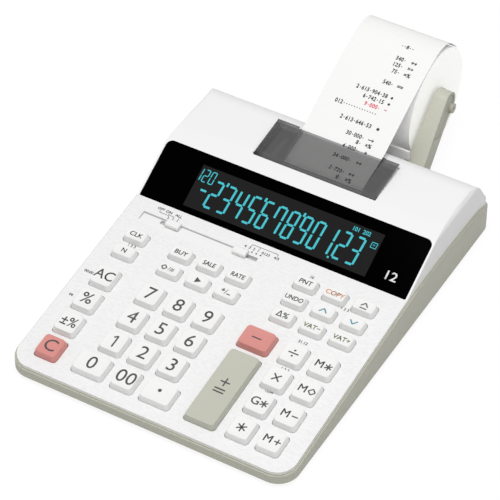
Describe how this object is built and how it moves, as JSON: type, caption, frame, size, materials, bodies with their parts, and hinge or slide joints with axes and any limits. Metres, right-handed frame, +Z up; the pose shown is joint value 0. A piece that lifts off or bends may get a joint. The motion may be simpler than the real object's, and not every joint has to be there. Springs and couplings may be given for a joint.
{
  "type": "printing desk calculator",
  "caption": "Desktop printing calculator with a sloping keyboard, tilted display, slide switches, lifting printer cover and a paper roll held between two arms.",
  "frame": {"origin": "on the desk under the middle of the bounding box of case and roll", "axes": "+X across the width towards the memory keys, +Y from the front edge to the paper roll, +Z up"},
  "size_m": [0.195, 0.3434, 0.0868],
  "materials": {
    "case_white": "fine satin",
    "case_beige": "fine satin",
    "window_black": "polished",
    "lcd": "polished",
    "cover_smoked": "polished",
    "paper": "matte",
    "rubber_grey": "matte",
    "rubber_dark": "matte",
    "printer_plastic": "satin",
    "board": "satin",
    "key_white": "satin",
    "key_red": "satin",
    "key_putty": "satin"
  },
  "bodies": {
    "case": {"upper_case": "case_white", "lower_case": "case_beige", "display_window": "window_black", "lcd_module": "lcd", "paper_strip": "paper", "main_board": "board", "key_mat": "rubber_grey", "rubber_feet": "rubber_grey", "printer_frame": "printer_plastic"},
    "right_arm": {"right_paper_arm": "case_beige"},
    "left_arm": {"left_paper_arm": "case_beige"},
    "roll": {"paper_roll": "paper"},
    "printer_lid": {"printer_cover": "cover_smoked"},
    "battery_door": {"battery_cover": "case_beige"},
    "platen": {"platen_roller": "rubber_dark"},
    "print_switch": {"slide_print": "key_white"},
    "rounding_switch": {"slide_rounding": "key_white"},
    "key_time_body": {"key_time": "key_white"},
    "key_it_body": {"key_it": "key_white"},
    "key_clear_all_body": {"key_clear_all": "key_white"},
    "key_percent_body": {"key_percent": "key_white"},
    "key_markup_body": {"key_markup": "key_white"},
    "key_clear_body": {"key_clear": "key_red"},
    "key_cost_body": {"key_cost": "key_white"},
    "key_sell_body": {"key_sell": "key_white"},
    "key_margin_body": {"key_margin": "key_white"},
    "key_subtotal_body": {"key_subtotal": "key_white"},
    "key_backspace_body": {"key_backspace": "key_white"},
    "key_sign_body": {"key_sign": "key_white"},
    "key_7_body": {"key_7": "key_white"},
    "key_8_body": {"key_8": "key_white"},
    "key_9_body": {"key_9": "key_white"},
    "key_4_body": {"key_4": "key_white"},
    "key_5_body": {"key_5": "key_white"},
    "key_6_body": {"key_6": "key_white"},
    "key_1_body": {"key_1": "key_white"},
    "key_2_body": {"key_2": "key_white"},
    "key_3_body": {"key_3": "key_white"},
    "key_0_body": {"key_0": "key_white"},
    "key_00_body": {"key_00": "key_white"},
    "key_point_body": {"key_point": "key_white"},
    "key_minus_body": {"key_minus": "key_red"},
    "key_plus_equals_body": {"key_plus_equals": "key_putty"},
    "key_print_body": {"key_print": "key_white"},
    "key_reprint_body": {"key_reprint": "key_white"},
    "key_feed_body": {"key_feed": "key_white"},
    "key_correct_body": {"key_correct": "key_white"},
    "key_up_body": {"key_up": "key_white"},
    "key_down_body": {"key_down": "key_white"},
    "key_delta_body": {"key_delta": "key_white"},
    "key_tax_minus_body": {"key_tax_minus": "key_white"},
    "key_tax_plus_body": {"key_tax_plus": "key_white"},
    "key_divide_body": {"key_divide": "key_white"},
    "key_times_body": {"key_times": "key_white"},
    "key_grand_total_body": {"key_grand_total": "key_white"},
    "key_total_body": {"key_total": "key_white"},
    "key_memory_total_body": {"key_memory_total": "key_white"},
    "key_memory_subtotal_body": {"key_memory_subtotal": "key_white"},
    "key_memory_minus_body": {"key_memory_minus": "key_white"},
    "key_memory_plus_body": {"key_memory_plus": "key_white"}
  },
  "joints": [
    {"name": "paper_roll_spin", "type": "hinge", "parent": "case", "child": "roll", "pos_m": [0.0055, 0.13435, 0.0455], "axis": [1, 0, 0], "continuous": true},
    {"name": "platen_turn", "type": "hinge", "parent": "case", "child": "platen", "pos_m": [0.0055, 0.04035, 0.0403], "axis": [1, 0, 0], "continuous": true},
    {"name": "right_arm_release", "type": "hinge", "parent": "case", "child": "right_arm", "pos_m": [0.0411, 0.08385, 0.02], "axis": [0, 0, -1], "range_deg": [0, 6], "stiffness_Nm_per_rad": 0.6, "springref_deg": -5.73},
    {"name": "left_arm_release", "type": "hinge", "parent": "case", "child": "left_arm", "pos_m": [-0.0301, 0.08385, 0.02], "axis": [0, 0, 1], "range_deg": [0, 6], "stiffness_Nm_per_rad": 0.6, "springref_deg": -5.73},
    {"name": "printer_cover_lift", "type": "hinge", "parent": "case", "child": "printer_lid", "pos_m": [0.004, 0.02865, 0.0491], "axis": [1, 0, 0], "range_deg": [0, 80]},
    {"name": "battery_cover_open", "type": "hinge", "parent": "case", "child": "battery_door", "pos_m": [0, -0.02168, 0.00375], "axis": [-1, 0, 0], "range_deg": [0, 75]},
    {"name": "print_switch_slide", "type": "slide", "parent": "case", "child": "print_switch", "axis": [1, 0, 0], "range_m": [-0.0075, 0]},
    {"name": "rounding_switch_slide", "type": "slide", "parent": "case", "child": "rounding_switch", "axis": [1, 0, 0], "range_m": [0, 0.01]},
    {"name": "press_key_time", "type": "slide", "parent": "case", "child": "key_time_body", "axis": [0, 0.1175, -0.9931], "range_m": [0, 0.0018], "stiffness_N_per_m": 300, "springref_m": -0.001},
    {"name": "press_key_it", "type": "slide", "parent": "case", "child": "key_it_body", "axis": [0, 0.1175, -0.9931], "range_m": [0, 0.0018], "stiffness_N_per_m": 300, "springref_m": -0.001},
    {"name": "press_key_clear_all", "type": "slide", "parent": "case", "child": "key_clear_all_body", "axis": [0, 0.1175, -0.9931], "range_m": [0, 0.0018], "stiffness_N_per_m": 300, "springref_m": -0.001},
    {"name": "press_key_percent", "type": "slide", "parent": "case", "child": "key_percent_body", "axis": [0, 0.1175, -0.9931], "range_m": [0, 0.0018], "stiffness_N_per_m": 300, "springref_m": -0.001},
    {"name": "press_key_markup", "type": "slide", "parent": "case", "child": "key_markup_body", "axis": [0, 0.1175, -0.9931], "range_m": [0, 0.0018], "stiffness_N_per_m": 300, "springref_m": -0.001},
    {"name": "press_key_clear", "type": "slide", "parent": "case", "child": "key_clear_body", "axis": [0, 0.1175, -0.9931], "range_m": [0, 0.0018], "stiffness_N_per_m": 300, "springref_m": -0.001},
    {"name": "press_key_cost", "type": "slide", "parent": "case", "child": "key_cost_body", "axis": [0, 0.1175, -0.9931], "range_m": [0, 0.0018], "stiffness_N_per_m": 300, "springref_m": -0.001},
    {"name": "press_key_sell", "type": "slide", "parent": "case", "child": "key_sell_body", "axis": [0, 0.1175, -0.9931], "range_m": [0, 0.0018], "stiffness_N_per_m": 300, "springref_m": -0.001},
    {"name": "press_key_margin", "type": "slide", "parent": "case", "child": "key_margin_body", "axis": [0, 0.1175, -0.9931], "range_m": [0, 0.0018], "stiffness_N_per_m": 300, "springref_m": -0.001},
    {"name": "press_key_subtotal", "type": "slide", "parent": "case", "child": "key_subtotal_body", "axis": [0, 0.1175, -0.9931], "range_m": [0, 0.0018], "stiffness_N_per_m": 300, "springref_m": -0.001},
    {"name": "press_key_backspace", "type": "slide", "parent": "case", "child": "key_backspace_body", "axis": [0, 0.1175, -0.9931], "range_m": [0, 0.0018], "stiffness_N_per_m": 300, "springref_m": -0.001},
    {"name": "press_key_sign", "type": "slide", "parent": "case", "child": "key_sign_body", "axis": [0, 0.1175, -0.9931], "range_m": [0, 0.0018], "stiffness_N_per_m": 300, "springref_m": -0.001},
    {"name": "press_key_7", "type": "slide", "parent": "case", "child": "key_7_body", "axis": [0, 0.1175, -0.9931], "range_m": [0, 0.0018], "stiffness_N_per_m": 300, "springref_m": -0.001},
    {"name": "press_key_8", "type": "slide", "parent": "case", "child": "key_8_body", "axis": [0, 0.1175, -0.9931], "range_m": [0, 0.0018], "stiffness_N_per_m": 300, "springref_m": -0.001},
    {"name": "press_key_9", "type": "slide", "parent": "case", "child": "key_9_body", "axis": [0, 0.1175, -0.9931], "range_m": [0, 0.0018], "stiffness_N_per_m": 300, "springref_m": -0.001},
    {"name": "press_key_4", "type": "slide", "parent": "case", "child": "key_4_body", "axis": [0, 0.1175, -0.9931], "range_m": [0, 0.0018], "stiffness_N_per_m": 300, "springref_m": -0.001},
    {"name": "press_key_5", "type": "slide", "parent": "case", "child": "key_5_body", "axis": [0, 0.1175, -0.9931], "range_m": [0, 0.0018], "stiffness_N_per_m": 300, "springref_m": -0.001},
    {"name": "press_key_6", "type": "slide", "parent": "case", "child": "key_6_body", "axis": [0, 0.1175, -0.9931], "range_m": [0, 0.0018], "stiffness_N_per_m": 300, "springref_m": -0.001},
    {"name": "press_key_1", "type": "slide", "parent": "case", "child": "key_1_body", "axis": [0, 0.1175, -0.9931], "range_m": [0, 0.0018], "stiffness_N_per_m": 300, "springref_m": -0.001},
    {"name": "press_key_2", "type": "slide", "parent": "case", "child": "key_2_body", "axis": [0, 0.1175, -0.9931], "range_m": [0, 0.0018], "stiffness_N_per_m": 300, "springref_m": -0.001},
    {"name": "press_key_3", "type": "slide", "parent": "case", "child": "key_3_body", "axis": [0, 0.1175, -0.9931], "range_m": [0, 0.0018], "stiffness_N_per_m": 300, "springref_m": -0.001},
    {"name": "press_key_0", "type": "slide", "parent": "case", "child": "key_0_body", "axis": [0, 0.1175, -0.9931], "range_m": [0, 0.0018], "stiffness_N_per_m": 300, "springref_m": -0.001},
    {"name": "press_key_00", "type": "slide", "parent": "case", "child": "key_00_body", "axis": [0, 0.1175, -0.9931], "range_m": [0, 0.0018], "stiffness_N_per_m": 300, "springref_m": -0.001},
    {"name": "press_key_point", "type": "slide", "parent": "case", "child": "key_point_body", "axis": [0, 0.1175, -0.9931], "range_m": [0, 0.0018], "stiffness_N_per_m": 300, "springref_m": -0.001},
    {"name": "press_key_minus", "type": "slide", "parent": "case", "child": "key_minus_body", "axis": [0, 0.1175, -0.9931], "range_m": [0, 0.0018], "stiffness_N_per_m": 300, "springref_m": -0.001},
    {"name": "press_key_plus_equals", "type": "slide", "parent": "case", "child": "key_plus_equals_body", "axis": [0, 0.1175, -0.9931], "range_m": [0, 0.0018], "stiffness_N_per_m": 300, "springref_m": -0.001},
    {"name": "press_key_print", "type": "slide", "parent": "case", "child": "key_print_body", "axis": [0, 0.1175, -0.9931], "range_m": [0, 0.0018], "stiffness_N_per_m": 300, "springref_m": -0.001},
    {"name": "press_key_reprint", "type": "slide", "parent": "case", "child": "key_reprint_body", "axis": [0, 0.1175, -0.9931], "range_m": [0, 0.0018], "stiffness_N_per_m": 300, "springref_m": -0.001},
    {"name": "press_key_feed", "type": "slide", "parent": "case", "child": "key_feed_body", "axis": [0, 0.1175, -0.9931], "range_m": [0, 0.0018], "stiffness_N_per_m": 300, "springref_m": -0.001},
    {"name": "press_key_correct", "type": "slide", "parent": "case", "child": "key_correct_body", "axis": [0, 0.1175, -0.9931], "range_m": [0, 0.0018], "stiffness_N_per_m": 300, "springref_m": -0.001},
    {"name": "press_key_up", "type": "slide", "parent": "case", "child": "key_up_body", "axis": [0, 0.1175, -0.9931], "range_m": [0, 0.0018], "stiffness_N_per_m": 300, "springref_m": -0.001},
    {"name": "press_key_down", "type": "slide", "parent": "case", "child": "key_down_body", "axis": [0, 0.1175, -0.9931], "range_m": [0, 0.0018], "stiffness_N_per_m": 300, "springref_m": -0.001},
    {"name": "press_key_delta", "type": "slide", "parent": "case", "child": "key_delta_body", "axis": [0, 0.1175, -0.9931], "range_m": [0, 0.0018], "stiffness_N_per_m": 300, "springref_m": -0.001},
    {"name": "press_key_tax_minus", "type": "slide", "parent": "case", "child": "key_tax_minus_body", "axis": [0, 0.1175, -0.9931], "range_m": [0, 0.0018], "stiffness_N_per_m": 300, "springref_m": -0.001},
    {"name": "press_key_tax_plus", "type": "slide", "parent": "case", "child": "key_tax_plus_body", "axis": [0, 0.1175, -0.9931], "range_m": [0, 0.0018], "stiffness_N_per_m": 300, "springref_m": -0.001},
    {"name": "press_key_divide", "type": "slide", "parent": "case", "child": "key_divide_body", "axis": [0, 0.1175, -0.9931], "range_m": [0, 0.0018], "stiffness_N_per_m": 300, "springref_m": -0.001},
    {"name": "press_key_times", "type": "slide", "parent": "case", "child": "key_times_body", "axis": [0, 0.1175, -0.9931], "range_m": [0, 0.0018], "stiffness_N_per_m": 300, "springref_m": -0.001},
    {"name": "press_key_grand_total", "type": "slide", "parent": "case", "child": "key_grand_total_body", "axis": [0, 0.1175, -0.9931], "range_m": [0, 0.0018], "stiffness_N_per_m": 300, "springref_m": -0.001},
    {"name": "press_key_total", "type": "slide", "parent": "case", "child": "key_total_body", "axis": [0, 0.1175, -0.9931], "range_m": [0, 0.0018], "stiffness_N_per_m": 300, "springref_m": -0.001},
    {"name": "press_key_memory_total", "type": "slide", "parent": "case", "child": "key_memory_total_body", "axis": [0, 0.1175, -0.9931], "range_m": [0, 0.0018], "stiffness_N_per_m": 300, "springref_m": -0.001},
    {"name": "press_key_memory_subtotal", "type": "slide", "parent": "case", "child": "key_memory_subtotal_body", "axis": [0, 0.1175, -0.9931], "range_m": [0, 0.0018], "stiffness_N_per_m": 300, "springref_m": -0.001},
    {"name": "press_key_memory_minus", "type": "slide", "parent": "case", "child": "key_memory_minus_body", "axis": [0, 0.1175, -0.9931], "range_m": [0, 0.0018], "stiffness_N_per_m": 300, "springref_m": -0.001},
    {"name": "press_key_memory_plus", "type": "slide", "parent": "case", "child": "key_memory_plus_body", "axis": [0, 0.1175, -0.9931], "range_m": [0, 0.0018], "stiffness_N_per_m": 300, "springref_m": -0.001}
  ],
  "couplings": [
    {"joint": "platen_turn", "follows": "paper_roll_spin", "ratio": 4.5488}
  ]
}
